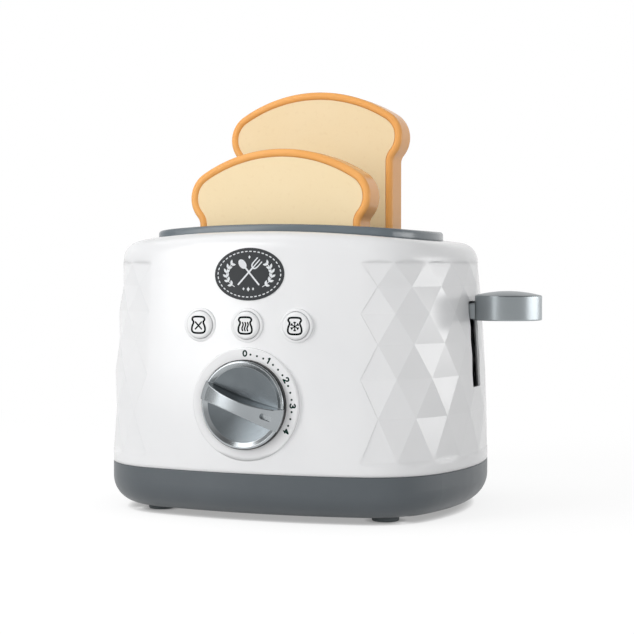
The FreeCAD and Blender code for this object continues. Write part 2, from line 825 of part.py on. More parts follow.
def clickSpring():
    """A leaf that lies along the bottom of the wheel, with a foot on the box's floor."""
    top = dialZ - wheelRadius - runningFit
    near, far, half = wheelY + 0.6, wheelY + 2.6, 10.0
    leaf = block(-half, half, near, far, top - leafThick, top)
    foot = block(-half, -half + 2, near, far, dialZ - timerHalf + timerWall, top)
    return joined([leaf, foot])


def timerCase():
    """The click box, open at the back where its cover goes, with an ear on each side."""
    low, high = dialZ - timerHalf, dialZ + timerHalf
    case = block(-timerHalf, timerHalf, timerFront, timerBack, low, high)
    room = timerHalf - timerWall
    case = case.cut(block(-room, room, timerFront + timerWall, timerBack,
                          dialZ - room, dialZ + room))
    earX, earZ = timerPosts[1]
    arm = block(-earX - postOuter, earX + postOuter, timerEarY, timerEarY + earThick,
                earZ - postOuter, earZ + postOuter)
    arm = arm.cut(block(-room, room, timerEarY - 1, timerEarY + earThick + 1,
                        earZ - postOuter - 1, earZ + postOuter + 1))
    holes = [rod(smallScrewHole, V(x, timerEarY - 1, z), inward, 6) for x, z in timerPosts]
    holes.append(rod(spindleRadius + runningFit, V(0, timerFront - 5, dialZ), inward, 12))
    return drilled(joined([case, arm]), holes)


def timerCover():
    cover = block(-timerHalf, timerHalf, timerBack, timerBack + timerWall,
                  dialZ - timerHalf, dialZ + timerHalf)
    return cover.cut(rod(spindleRadius + runningFit, V(0, timerBack - 1, dialZ), inward, 5))


# Buttons

def stopY(k):
    """The front of a button's flange, just clear of the housing's curved wall."""
    return frontY(k * buttonPitch, buttonZ) + wall + flangeGap


def buttonCap(k):
    x = k * buttonPitch
    face, stop = frontY(x, buttonZ) - buttonProud, stopY(k)
    cap = rod(buttonRadius, V(x, face, buttonZ), inward, stop - face + 1)
    cap = rounded(cap, buttonEdge, lambda e: e.BoundBox.YMax < face + 0.1)
    flange = rod(flangeRadius, V(x, stop, buttonZ), inward, flangeThick)
    stem = rod(stemRadius, V(x, stop + 1, buttonZ), inward, bracketY - stop + 0.5)
    return joined([cap, flange, stem])


def buttonSpring(k):
    start = stopY(k) + flangeThick
    return coilSpring(V(k * buttonPitch, start, buttonZ), inward, bracketY - start, 3.2, 0.6, 4)


def buttonBracket():
    plate = block(-46, 46, bracketY, bracketY + bracketThick, buttonZ - 7, buttonZ + 7)
    feet = [rod(postRadius, V(x, postEnd, z), inward, 3) for x, z in bracketPosts]
    holes = [rod(stemRadius + runningFit, V(k * buttonPitch, bracketY - 1, buttonZ), inward, 10)
             for _, k in buttonRows]
    holes += [rod(smallScrewHole, V(x, postEnd - 1, z), inward, 10) for x, z in bracketPosts]
    return drilled(joined([plate] + feet), holes)


def innerScrews():
    """The four screws that hold the button bracket and the click box to the housing."""
    rows = [(bracketPosts, bracketY + bracketThick, 9), (timerPosts, timerEarY + earThick, 7)]
    screws = []
    for posts, seat, length in rows:
        for x, z in posts:
            screws.append(panScrew(V(x, seat + smallHeadThick, z), -inward, smallScrewHead,
                                   smallHeadThick, smallScrewRadius, length))
    return Part.makeCompound(screws)


def badgePlate(outer):
    """A blank oval plate that follows the housing's front."""
    reach = badgeHalfHeight + 5
    skin = fullBlock(-badgeProud, badgeZ - reach, badgeZ + reach).cut(outer)
    ellipse = Part.Ellipse(V(0, 0, 0), badgeHalfWidth, badgeHalfHeight)
    face = Part.Face(Part.Wire(ellipse.toShape()))
    face.rotate(V(0, 0, 0), outX, 90)
    face.translate(V(0, beforeFront, badgeZ))
    return skin.common(face.extrude(inward * throughWall)).Solids[0]


# Toy bread

def sliceOutline(y, top, inset):
    """The loaf's outline, inset all round: dome, lobes, waist and straight neck."""
    dome, lobe, waist = domeRadius - inset, lobeRadius - inset, waistRadius + inset
    neck, low = neckHalfWidth - inset, top - sliceHeight + inset
    domeZ = top - domeRadius
    lobeX = sliceHalfWidth - lobeRadius
    lobeZ = domeZ + sqrt((domeRadius - lobeRadius) ** 2 - lobeX ** 2)
    tuck = asin(sqrt(1 - ((neck + waist - lobeX) / (lobe + waist)) ** 2))
    waistZ = lobeZ - (lobe + waist) * sin(tuck)
    lean = atan2(lobeZ - domeZ, lobeX)
    footZ = low + sliceFoot

    def sweep(cx, cz, radius, start, end):
        return [V(cx + radius * cos(a), y, cz + radius * sin(a))
                for a in (start, (start + end) / 2, end)]

    right = [
        sweep(0, domeZ, dome, pi / 2, lean),
        sweep(lobeX, lobeZ, lobe, lean, -tuck),
        sweep(neck + waist, waistZ, waist, pi - tuck, pi),
        [V(neck, y, waistZ), V(neck, y, footZ)],
        sweep(neck - sliceFoot, footZ, sliceFoot, 0, -pi / 2),
    ]
    edges = [edgeThrough(points) for points in right]
    edges += [edgeThrough([V(-p.x, p.y, p.z) for p in points]) for points in right]
    edges.append(Part.makeLine(V(neck - sliceFoot, y, low), V(sliceFoot - neck, y, low)))
    return Part.Wire(Part.__sortEdges__(edges))


def sliceCrust(y, top):
    near = y - sliceThick / 2
    loaf = Part.Face(sliceOutline(near, top, 0)).extrude(V(0, sliceThick, 0))
    loaf = rounded(loaf, crustEdge, lambda e: e.BoundBox.YLength < 0.1)
    hollow = Part.Face(sliceOutline(near - 1, top, crustWidth))
    crust = loaf.cut(hollow.extrude(V(0, sliceThick + 2, 0)))
    return rounded(crust, crustInnerEdge, lambda e: e.BoundBox.YLength < 0.1
                   and abs(abs(e.CenterOfMass.y - y) - sliceThick / 2) < 0.01
                   and e.BoundBox.XMax < sliceHalfWidth - crustWidth + 0.1)


def sliceCrumb(y, top):
    """The two thin faces that close the crust ring."""
    reach = sliceThick / 2 - crumbRecess
    faces = []
    for near in (y - reach, y + reach - crumbThick):
        face = Part.Face(sliceOutline(near, top, crustWidth))
        faces.append(face.extrude(V(0, crumbThick, 0)))
    return Part.makeCompound(faces)


def build():
    outer = outerBlock()
    parts = {
        "body_shell": bodyShell(outer, innerBlock()),
        "top_bezel": topBezel(),
        "base_tray": baseTray(),
        "rubber_feet": rubberFeet(),
        "base_screws": baseScrews(),
        "guide_rods": guideRods(),
        "return_springs": returnSprings(),
        "carriage": carriage(),
        "lever_arm": leverArm(),
        "lever_paddle": leverPaddle(),
        "lever_screw": leverScrew(),
        "latch_pawl": latchPawl(),
        "latch_pin": latchPin(),
        "dial_plate": dialPlate(outer),
        "dial_knob": dialKnob(),
        "knob_skirt": knobSkirt(),
        "dial_spindle": dialSpindle(),
        "click_wheel": clickWheel(),
        "click_spring": clickSpring(),
        "timer_case": timerCase(),
        "timer_cover": timerCover(),
        "button_bracket": buttonBracket(),
        "inner_screws": innerScrews(),
        "badge_plate": badgePlate(outer),
    }
    for name, k in buttonRows:
        parts[name + "_button"] = buttonCap(k)
        parts[name + "_spring"] = buttonSpring(k)
    tops = (frontSliceTop, frontSliceTop + rearSliceRise)
    for name, y, top in zip(("front", "rear"), slotRows, tops):
        parts[name + "_bread_well"] = breadWell(y)
        parts[name + "_slice_crust"] = sliceCrust(y, top)
        parts[name + "_slice_crumb"] = sliceCrumb(y, top)
    return parts


os.makedirs("parts", exist_ok=True)
for node, shape in build().items():
    print(node, len(shape.Solids), shape.isValid(), round(shape.Volume))
    shape.exportStep("parts/" + node + ".step")
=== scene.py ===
import json
from math import cos, degrees, pi, radians, sin

import bmesh
import bpy
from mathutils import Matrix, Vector


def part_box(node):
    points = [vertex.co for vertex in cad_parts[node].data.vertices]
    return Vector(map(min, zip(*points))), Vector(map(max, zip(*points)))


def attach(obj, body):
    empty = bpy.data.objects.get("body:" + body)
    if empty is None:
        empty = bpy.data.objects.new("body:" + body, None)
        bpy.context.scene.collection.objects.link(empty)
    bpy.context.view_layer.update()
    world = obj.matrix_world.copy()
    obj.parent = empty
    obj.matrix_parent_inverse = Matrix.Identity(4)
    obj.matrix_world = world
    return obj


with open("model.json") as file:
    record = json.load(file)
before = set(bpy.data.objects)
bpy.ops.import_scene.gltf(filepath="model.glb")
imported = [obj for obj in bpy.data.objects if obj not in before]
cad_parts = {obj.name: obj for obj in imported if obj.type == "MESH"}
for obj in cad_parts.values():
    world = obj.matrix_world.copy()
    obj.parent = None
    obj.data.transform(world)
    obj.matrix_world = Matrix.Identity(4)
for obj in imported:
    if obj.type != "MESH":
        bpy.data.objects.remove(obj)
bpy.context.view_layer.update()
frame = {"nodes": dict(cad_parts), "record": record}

mm = 0.001


# Camera, lights and floor

camera = {
    "azimuth": 20.32,           # degrees to the right of straight on
    "drop": 1.704,              # degrees below level
    "lensPixels": 1577.7,
    "framePixels": 634,
    "sensor": 36.0,
    "distance": 0.86666,
    "height": 0.12746,
    "aside": 0.00783,
}


def placeCamera():
    turn = radians(camera["azimuth"])
    tilt = radians(camera["drop"])
    right = Vector((cos(turn), sin(turn), 0))
    ahead = Vector((-sin(turn), cos(turn), 0))
    data = bpy.data.cameras.new("productCamera")
    data.sensor_width = camera["sensor"]
    data.lens = camera["lensPixels"] * camera["sensor"] / camera["framePixels"]
    eye = bpy.data.objects.new("productCamera", data)
    eye.location = right * camera["aside"] - ahead * camera["distance"]
    eye.location.z = camera["height"]
    eye.rotation_euler = (pi / 2 - tilt, 0, turn)
    bpy.context.scene.collection.objects.link(eye)
    bpy.context.scene.camera = eye


# place is azimuth, elevation and distance; size is width and height in metres
lamps = {
    "keyLamp": {"place": (-34, 22, 0.95), "size": (0.42, 0.84), "power": 3.65},
    "sideLamp": {"place": (34, 4, 1.3), "size": (0.5, 0.3), "power": 3.4, "diffuseOnly": True},
    "topLamp": {"place": (-75, 60, 1.2), "size": (0.7, 0.7), "power": 2.0},
    "backLamp": {"place": (168, 12, 1.4), "size": (0.9, 0.6), "power": 3.6, "diffuseOnly": True},
    "gleam": {"place": (107.5, 4.2, 1.3), "size": (1.13, 0.33), "power": 4.0, "glossOnly": True},
}
aimAt = Vector((0, 0, 0.1))


def hangLamp(name, place, size, power, glossOnly=False, diffuseOnly=False):
    data = bpy.data.lights.new(name, "AREA")
    data.shape = "RECTANGLE"
    data.size, data.size_y = size
    data.energy = power
    lamp = bpy.data.objects.new(name, data)
    azimuth, elevation, distance = place
    turn, rise = radians(azimuth), radians(elevation)
    away = Vector((sin(turn) * cos(rise), -cos(turn) * cos(rise), sin(rise)))
    lamp.location = aimAt + away * distance
    lamp.rotation_euler = away.to_track_quat("Z", "Y").to_euler()
    lamp.visible_camera = False
    lamp.visible_diffuse = not glossOnly
    lamp.visible_glossy = not diffuseOnly
    bpy.context.scene.collection.objects.link(lamp)


# Shader sums are written with this class

class Wire:
    def __init__(self, tree, socket=None):
        self.tree = tree
        self.socket = socket

    def node(self, kind, settings=None, inputs=None, output=0):
        made = self.tree.nodes.new("ShaderNode" + kind)
        for name, value in (settings or {}).items():
            setattr(made, name, value)
        for name, value in (inputs or {}).items():
            if isinstance(value, Wire):
                self.tree.links.new(value.socket, made.inputs[name])
            else:
                made.inputs[name].default_value = value
        return Wire(self.tree, made.outputs[output])

    def other(self, output):
        # another output of the same node
        return Wire(self.tree, self.socket.node.outputs[output])

    def math(self, operation, *others):
        return self.node("Math", {"operation": operation}, dict(enumerate((self,) + others)))

    def __add__(self, other):
        return self.math("ADD", other)

    def __radd__(self, other):
        return self.math("ADD", other)

    def __mul__(self, other):
        return self.math("MULTIPLY", other)

    def __rmul__(self, other):
        return self.math("MULTIPLY", other)

    def __sub__(self, other):
        return self.math("SUBTRACT", other)

    def __rsub__(self, other):
        return self.node("Math", {"operation": "SUBTRACT"}, {0: other, 1: self})


def mixColours(factor, first, second):
    # a Mix node's colours are its inputs 6 and 7 and its output 2
    colours = [c if isinstance(c, Wire) else tuple(c) + (1,) for c in (first, second)]
    return factor.node("Mix", {"data_type": "RGBA"}, {0: factor, 6: colours[0], 7: colours[1]}, 2)


def startFinish(name):
    material = bpy.data.materials.new(name)
    material.use_nodes = True
    tree = material.node_tree
    place = Wire(tree).node("TexCoord", output="Object")
    return material, tree.nodes["Principled BSDF"], place


def noise(place, scale, detail=2.0, roughness=0.5):
    inputs = {"Vector": place, "Scale": scale, "Detail": detail, "Roughness": roughness}
    return place.node("TexNoise", None, inputs)


def ramp(value, low, high):
    return value.node("MapRange", None, {"Value": value, "From Min": low, "From Max": high})


def step(value, edge, soft):
    return ramp(value, edge - soft, edge + soft)


# patches of noise: scale, detail, roughness, and the levels that become 0 and 1
patches = {
    "clouds": (28, 3, 0.5, 0.3, 0.7),
    "wipes": (90, 4, 0.6, 0.35, 0.75),
    "inkClouds": (60, 3, 0.5, 0.3, 0.7),
    "paintClouds": (45, 3, 0.5, 0.3, 0.7),
    "knobClouds": (60, 3, 0.5, 0.3, 0.7),
    "toasting": (40, 4, 0.6, 0.3, 0.75),
    "pores": (700, 3, 0.7, 0.35, 0.65),
    "crumbClouds": (24, 4, 0.55, 0.3, 0.75),
    "pits": (420, 2, 0.5, 0.28, 0.42),
    "dust": (110, 3, 0.5, 0.45, 0.8),
}


def patch(place, name):
    scale, detail, roughness, low, high = patches[name]
    return ramp(noise(place, scale, detail, roughness), low, high)


def bump(height, strength, distance, normal=None):
    inputs = {"Height": height, "Strength": strength, "Distance": distance}
    if normal:
        inputs["Normal"] = normal
    return height.node("Bump", None, inputs)


edgeSamples = 6


def softEdges(place, radius):
    return place.node("Bevel", {"samples": edgeSamples}, {"Radius": radius})


def setShader(shader, values):
    for name, value in values.items():
        if isinstance(value, Wire):
            value.tree.links.new(value.socket, shader.inputs[name])
        elif isinstance(value, tuple):
            shader.inputs[name].default_value = value + (1,)
        else:
            shader.inputs[name].default_value = value


# Finishes: a depth or an edge is in millimetres, and a gloss is what a pattern adds to roughness

mouldedLooks = {
    "baseGrey": {
        "colour": (0.105, 0.120, 0.132), "shade": (0.092, 0.107, 0.118),
        "roughness": 0.36, "grain": 1400, "grainDepth": 0.05, "edge": 0.3,
    },
    "bezelGrey": {
        "colour": (0.155, 0.183, 0.202), "shade": (0.138, 0.165, 0.184),
        "roughness": 0.15, "grain": 900, "grainDepth": 0.02, "edge": 1.6,
    },
    "badgeGrey": {
        "colour": (0.022, 0.025, 0.028), "shade": (0.018, 0.021, 0.024),
        "roughness": 0.50, "grain": 1600, "grainDepth": 0.02, "edge": 0,
    },
    "innerBlack": {
        "colour": (0.016, 0.016, 0.017), "shade": (0.011, 0.011, 0.012),
        "roughness": 0.42, "grain": 1200, "grainDepth": 0.05, "edge": 0,
    },
}
mouldedSkin = {"wipeGloss": 0.07, "grainGloss": 0.03, "grainBump": 0.35, "refraction": 1.47}


def mouldedPlastic(name):
    look = mouldedLooks[name]
    material, shader, place = startFinish(name)
    gloss = mouldedSkin["wipeGloss"] * patch(place, "wipes")
    grain = noise(place, look["grain"])
    normal = softEdges(place, look["edge"] * mm) if look["edge"] else None
    setShader(shader, {
        "Base Color": mixColours(patch(place, "clouds"), look["colour"], look["shade"]),
        "Roughness": look["roughness"] + gloss + mouldedSkin["grainGloss"] * grain,
        "Normal": bump(grain, mouldedSkin["grainBump"], look["grainDepth"] * mm, normal),
        "IOR": mouldedSkin["refraction"],
    })
    return material


housingLook = {
    "colour": (0.865, 0.868, 0.875),
    "shade": (0.84, 0.845, 0.855),
    "roughness": 0.17,
    "wipeGloss": 0.06,
    "grainGloss": 0.02,
    "grain": 900,
    "grainBump": 0.3,
    "grainDepth": 0.03,
    "refraction": 1.62,
    "edge": 0.35,               # how round the facets' edges look
    "ledgeEdge": 3.0,           # and those of the ledges under and over them
    "ledges": (36.0, 126.8),
    "ledgeBlend": 1.5,
}


def housingPlastic(name):
    look = housingLook
    material, shader, place = startFinish(name)
    gloss = look["wipeGloss"] * patch(place, "wipes")
    grain = noise(place, look["grain"])
    height = place.node("SeparateXYZ", None, {0: place}, "Z")
    overLow, overHigh = (step(height, z * mm, look["ledgeBlend"] * mm) for z in look["ledges"])
    edge = look["ledgeEdge"] - (look["ledgeEdge"] - look["edge"]) * (overLow - overHigh)
    normal = softEdges(place, edge * mm)
    setShader(shader, {
        "Base Color": mixColours(patch(place, "clouds"), look["colour"], look["shade"]),
        "Roughness": look["roughness"] + gloss + look["grainGloss"] * grain,
        "Normal": bump(grain, look["grainBump"], look["grainDepth"] * mm, normal),
        "IOR": look["refraction"],
    })
    return material


inkLooks = {
    "blackInk": {"colour": (0.006, 0.009, 0.009), "shade": (0.004, 0.006, 0.006), "sheen": 0.06},
    "greenInk": {"colour": (0.003, 0.030, 0.022), "shade": (0.002, 0.023, 0.016), "sheen": 0.06},
    "whiteInk": {"colour": (0.76, 0.78, 0.80), "shade": (0.70, 0.72, 0.74), "sheen": 0.4},
}
inkSkin = {"roughness": 0.5, "grain": 2000, "grainGloss": 0.1, "grainBump": 0.35, "grainDepth": 0.01}


def printedInk(name):
    look = inkLooks[name]
    material, shader, place = startFinish(name)
    grain = noise(place, inkSkin["grain"])
    setShader(shader, {
        "Base Color": mixColours(patch(place, "inkClouds"), look["colour"], look["shade"]),
        "Roughness": inkSkin["roughness"] + inkSkin["grainGloss"] * grain,
        "Normal": bump(grain, inkSkin["grainBump"], inkSkin["grainDepth"] * mm),
        "Specular IOR Level": look["sheen"],
    })
    return material


silverLook = {
    "colour": (0.36, 0.39, 0.405),
    "shade": (0.33, 0.36, 0.375),
    "roughness": 0.32,
    "spray": 120,
    "sprayGloss": 0.05,
    "flakes": 4500.0,
    "flakeShare": 0.15,
    "flakeGloss": 0.02,
    "flakeBump": 0.03,
    "flakeDepth": 0.01,
    "edge": 0.3,
}


def silverPaint(name):
    look = silverLook
    material, shader, place = startFinish(name)
    cells = place.node("TexVoronoi", None, {"Vector": place, "Scale": look["flakes"]}, "Color")
    flake = cells.node("SeparateColor", None, {0: cells})
    share = look["flakeShare"]
    tone = (1 - share) * patch(place, "paintClouds") + share * flake
    gloss = look["sprayGloss"] * noise(place, look["spray"], detail=3)
    normal = softEdges(place, look["edge"] * mm)
    setShader(shader, {
        "Base Color": mixColours(tone, look["colour"], look["shade"]),
        "Metallic": 1.0,
        "Roughness": look["roughness"] + gloss + look["flakeGloss"] * (flake - 0.5),
        "Normal": bump(flake, look["flakeBump"], look["flakeDepth"] * mm, normal),
    })
    return material


knobLook = {
    "dish": (0.180, 0.201, 0.214),
    "dishShade": (0.140, 0.158, 0.170),
    "rim": (0.42, 0.445, 0.46),
    "rimFrom": 19.0,
    "rimDepth": 1.6,
    "rimBlend": 0.1,
    "bar": (0.37, 0.395, 0.41),
    "barShade": (0.33, 0.355, 0.37),
    "barFrom": 0.3,             # in front of the rim, where the bar's own paint starts
    "barBlend": 0.05,
    "roughness": 0.20,
    "barGloss": 0.05,
    "grooves": 9000,
    "grooveGloss": 0.10,
    "grooveBump": 0.8,
    "grooveDepth": 0.05,
    "patchRange": (0.2, 0.8),
    "edge": 0.3,
}


def spunSilver(name):
    look = knobLook
    material, shader, place = startFinish(name)
    low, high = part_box("knob_skirt")
    rimFront = low.y - look["rimDepth"] * mm
    axes = place.node("SeparateXYZ", None, {0: place})
    across = axes - (low.x + high.x) / 2
    above = axes.other("Z") - (low.z + high.z) / 2
    radius = (across * across + above * above).math("SQRT")
    rings = radius.node("CombineXYZ", None, {0: radius, 1: 0.0, 2: 0.0})
    grooves = noise(rings, look["grooves"], detail=4, roughness=0.7)
    clouds = patch(place, "knobClouds")
    onBar = 1 - step(axes.other("Y"), rimFront - look["barFrom"] * mm, look["barBlend"] * mm)
    onRim = step(radius, look["rimFrom"] * mm, look["rimBlend"] * mm)
    spun = (1 - onBar) * (1 - onRim)
    mottle = ramp(0.5 * clouds + 0.5 * grooves, *look["patchRange"])
    dish = mixColours(mottle, look["dish"], look["dishShade"])
    dishAndRim = mixColours(onRim, dish, look["rim"])
    bar = mixColours(clouds, look["bar"], look["barShade"])
    gloss = look["grooveGloss"] * (grooves - 0.5) * spun + look["barGloss"] * onBar
    normal = softEdges(place, look["edge"] * mm)
    setShader(shader, {
        "Base Color": mixColours(onBar, dishAndRim, bar),
        "Metallic": 1.0,
        "Roughness": look["roughness"] + gloss,
        "Normal": bump(grooves * spun, look["grooveBump"], look["grooveDepth"] * mm, normal),
    })
    return material


crustLook = {
    "colour": (0.96, 0.475, 0.150),
    "toasted": (0.92, 0.425, 0.120),
    "roughness": 0.20,
    "poreGloss": 0.04,
    "toastGloss": 0.04,
    "poreBump": 0.03,
    "poreDepth": 0.02,
    "refraction": 1.27,
}


def toastCrust(name):
    look = crustLook
    material, shader, place = startFinish(name)
    toasting = patch(place, "toasting")
    pores = patch(place, "pores")
    gloss = look["poreGloss"] * pores + look["toastGloss"] * toasting
    setShader(shader, {
        "Base Color": mixColours(toasting, look["colour"], look["toasted"]),
        "Roughness": look["roughness"] + gloss,
        "Normal": bump(pores, look["poreBump"], look["poreDepth"] * mm),
        "IOR": look["refraction"],
    })
    return material


crumbLook = {
    "colour": (0.97, 0.79, 0.505),
    "shade": (0.95, 0.76, 0.465),
    # painted shade: the darker tone that the sunken pits get
    "pitShade": (0.72, 0.48, 0.22),
    "pitShadeShare": 0.10,
    "grainShare": 0.06,
    "grain": 1100,
    "roughness": 0.5,
    "grainGloss": 0.12,
    "grainHeight": 0.6,
    "pitHeight": 0.4,
    "pitBump": 0.3,
    "pitDepth": 0.08,
    "refraction": 1.45,
}


def toastCrumb(name):
    look = crumbLook
    material, shader, place = startFinish(name)
    grain = noise(place, look["grain"], detail=4, roughness=0.7)
    pits = patch(place, "pits")
    # painted shade in the sunken pits, plus a darker tone on the raised grain
    pitShadeAndGrain = look["pitShadeShare"] * (1 - pits) + look["grainShare"] * grain
    height = look["grainHeight"] * grain + look["pitHeight"] * pits
    cream = mixColours(patch(place, "crumbClouds"), look["colour"], look["shade"])
    setShader(shader, {
        "Base Color": mixColours(pitShadeAndGrain, cream, look["pitShade"]),
        "Roughness": look["roughness"] + look["grainGloss"] * grain,
        "Normal": bump(height, look["pitBump"], look["pitDepth"] * mm),
        "IOR": look["refraction"],
    })
    return material


steelLook = {
    "colour": (0.60, 0.60, 0.61),
    "shade": (0.46, 0.46, 0.47),
    "roughness": 0.26,
    "streaks": 900,
    "streakGloss": 0.16,
    "streakBump": 0.15,
    "streakDepth": 0.02,
}


def plainSteel(name):
    look = steelLook
    material, shader, place = startFinish(name)
    streaks = noise(place, look["streaks"], detail=4, roughness=0.7)
    setShader(shader, {
        "Base Color": mixColours(streaks, look["colour"], look["shade"]),
        "Metallic": 1.0,
        "Roughness": look["roughness"] + look["streakGloss"] * streaks,
        "Normal": bump(streaks, look["streakBump"], look["streakDepth"] * mm),
    })
    return material


rubberLook = {
    "colour": (0.10, 0.115, 0.122),
    "dusty": (0.125, 0.14, 0.147),
    "roughness": 0.62,
    "grain": 1500,
    "grainGloss": 0.15,
    "grainBump": 0.5,
    "grainDepth": 0.05,
}


def softRubber(name):
    look = rubberLook
    material, shader, place = startFinish(name)
    grain = noise(place, look["grain"], detail=3, roughness=0.6)
    setShader(shader, {
        "Base Color": mixColours(patch(place, "dust"), look["colour"], look["dusty"]),
        "Roughness": look["roughness"] + look["grainGloss"] * grain,
        "Normal": bump(grain, look["grainBump"], look["grainDepth"] * mm),
    })
    return material


finishes = {
    "housing_white": housingPlastic("housingWhite"),
    "base_grey": mouldedPlastic("baseGrey"),
    "bezel_grey": mouldedPlastic("bezelGrey"),
    "silver_plastic": silverPaint("silverPaint"),
    "badge_grey": mouldedPlastic("badgeGrey"),
    "crust": toastCrust("toastCrust"),
    "crumb": toastCrumb("toastCrumb"),
    "inner_plastic": mouldedPlastic("innerBlack"),
    "steel": plainSteel("plainSteel"),
    "foot_rubber": softRubber("footRubber"),
}
ownFinishes = {"dial_knob": spunSilver("spunSilver")}
inks = {name: printedInk(name) for name in inkLooks}
print("finishes made")


def dressFrame():
    for part in frame["record"]["subparts"]:
        node = frame["nodes"][part["node"]]
        finish = ownFinishes.get(part["node"], finishes[part["material_slot"]])
        for holder in node.material_slots:
            holder.material = finish


# Printed marks: each stroke is a thin raised ribbon of ink, drawn in millimetres

inkFilm = {
    "raised": 0.030,
    "sunk": 0.020,
    "apart": 0.0015,            # so that strokes which cross don't share a plane
    "layers": 7,
    "endTurns": (30, 60, 85),   # degrees, where a stroke's round end has its points
}


def smoothLine(points, closed=False, steps=6):
    # a curve through all the points
    count = len(points)
    line = []
    for i in range(count if closed else count - 1):
        span = [i - 1, i, i + 1, i + 2]
        span = [k % count if closed else min(max(k, 0), count - 1) for k in span]
        a, b, c, d = (Vector(points[k]) for k in span)
        for j in range(steps):
            t = j / steps
            bend = (2 * a - 5 * b + 4 * c - d) * t ** 2 + (3 * b - a - 3 * c + d) * t ** 3
            line.append(b + 0.5 * ((c - a) * t + bend))
    return line if closed else line + [Vector(points[-1])]


def mirrored(half):
    # closes an outline given from its top to its bottom on the right side
    left = [(-x, y) for x, y in reversed(half) if x]
    return half + left


def ovalLine(halfWidth, halfHeight, count, centre=(0, 0)):
    # points evenly spaced along an ellipse, clockwise from its top
    fine = 24 * count
    turns = [2 * pi * i / fine for i in range(fine + 1)]
    ring = [Vector((halfWidth * sin(t), halfHeight * cos(t))) for t in turns]
    pieces = [(b - a).length for a, b in zip(ring, ring[1:])]
    gap = sum(pieces) / count
    line, walked = [], 0.0
    for point, piece in zip(ring, pieces):
        if walked >= gap * len(line) - 1e-9 and len(line) < count:
            line.append(point + Vector(centre))
        walked += piece
    return line


def turned(points, angle, centre=(0, 0)):
    # anticlockwise about the centre
    a = radians(angle)
    spun = []
    for x, y in points:
        spun.append(Vector((x * cos(a) - y * sin(a), x * sin(a) + y * cos(a))) + Vector(centre))
    return spun


def roundEnd(point, along, half):
    pairs = []
    for turn in inkFilm["endTurns"]:
        middle = point + along * half * sin(radians(turn))
        across = Vector((-along.y, along.x)) * half * cos(radians(turn))
        pairs.append((middle + across, middle - across))
    return pairs


def ribbonSides(line, width, closed):
    half = width / 2
    count = len(line)
    sides = []
    directions = []
    for i, point in enumerate(line):
        before = line[i - 1] if closed or i > 0 else point
        after = line[(i + 1) % count] if closed or i < count - 1 else point
        along = (after - before).normalized()
        across = Vector((-along.y, along.x)) * half
        sides.append((point + across, point - across))
        directions.append(along)
    if closed:
        return sides
    start = [(b, a) for a, b in reversed(roundEnd(line[0], -directions[0], half))]
    return start + sides + roundEnd(line[-1], directions[-1], half)


class Print:
    # one piece of print on the face of a node, which rides with that node's body
    def __init__(self, name, body, place, ink):
        self.name = name
        self.body = body
        self.place = place
        self.ink = ink
        self.mesh = bmesh.new()
        self.count = 0

    def point(self, spot):
        sunk = Vector((0, inkFilm["sunk"] * mm, 0))
        return self.mesh.verts.new(self.place(*spot) + sunk)

    def thicken(self, faces):
        edges = list({edge for face in faces for edge in face.edges})
        grown = bmesh.ops.extrude_face_region(self.mesh, geom=faces + edges, use_keep_orig=True)
        corners = [part for part in grown["geom"] if isinstance(part, bmesh.types.BMVert)]
        layer = self.count % inkFilm["layers"]
        film = inkFilm["sunk"] + inkFilm["raised"] + inkFilm["apart"] * layer
        bmesh.ops.translate(self.mesh, vec=(0, -film * mm, 0), verts=corners)
        self.count += 1

    def stroke(self, points, width, closed=False):
        line = [Vector(p) for p in points]
        rows = [(self.point(a), self.point(b)) for a, b in ribbonSides(line, width, closed)]
        following = rows[1:] + (rows[:1] if closed else [])
        faces = []
        for (a, b), (c, d) in zip(rows, following):
            faces.append(self.mesh.faces.new((a, b, d, c)))
        self.thicken(faces)

    def patch(self, outline):
        self.thicken([self.mesh.faces.new([self.point(p) for p in outline])])

    def finish(self):
        bmesh.ops.recalc_face_normals(self.mesh, faces=self.mesh.faces[:])
        data = bpy.data.meshes.new(self.name)
        self.mesh.to_mesh(data)
        self.mesh.free()
        data.materials.append(inks[self.ink])
        piece = bpy.data.objects.new(self.name, data)
        bpy.context.scene.collection.objects.link(piece)
        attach(piece, self.body)


def onFace(node):
    # a spot in millimetres from the middle of a node's flat front face
    low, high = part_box(node)
    x, z = (low.x + high.x) / 2, (low.z + high.z) / 2
    return lambda across, up: Vector((x + across * mm, low.y, z + up * mm))


def onSkin(node):
    # the same on a curved face, found by looking back at it from the front
    low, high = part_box(node)
    x, z = (low.x + high.x) / 2, (low.z + high.z) / 2
    target = frame["nodes"][node]
    stand = 50 * mm

    def spot(across, up):
        start = Vector((x + across * mm, low.y - stand, z + up * mm))
        hit, place = target.ray_cast(start, Vector((0, 1, 0)))[:2]
        return place if hit else Vector((start.x, high.y, start.z))
    return spot


dialPrint = {
    "numeralRadius": 25.7,
    "numeralStep": 30.0,        # degrees
    "zeroHalf": (0.93, 1.33),
    "stroke": 0.78,
    "dotRadius": 25.3,
    "dotSize": 0.55,
    "dotsAfter": (6.9, 15.0, 23.1),
}


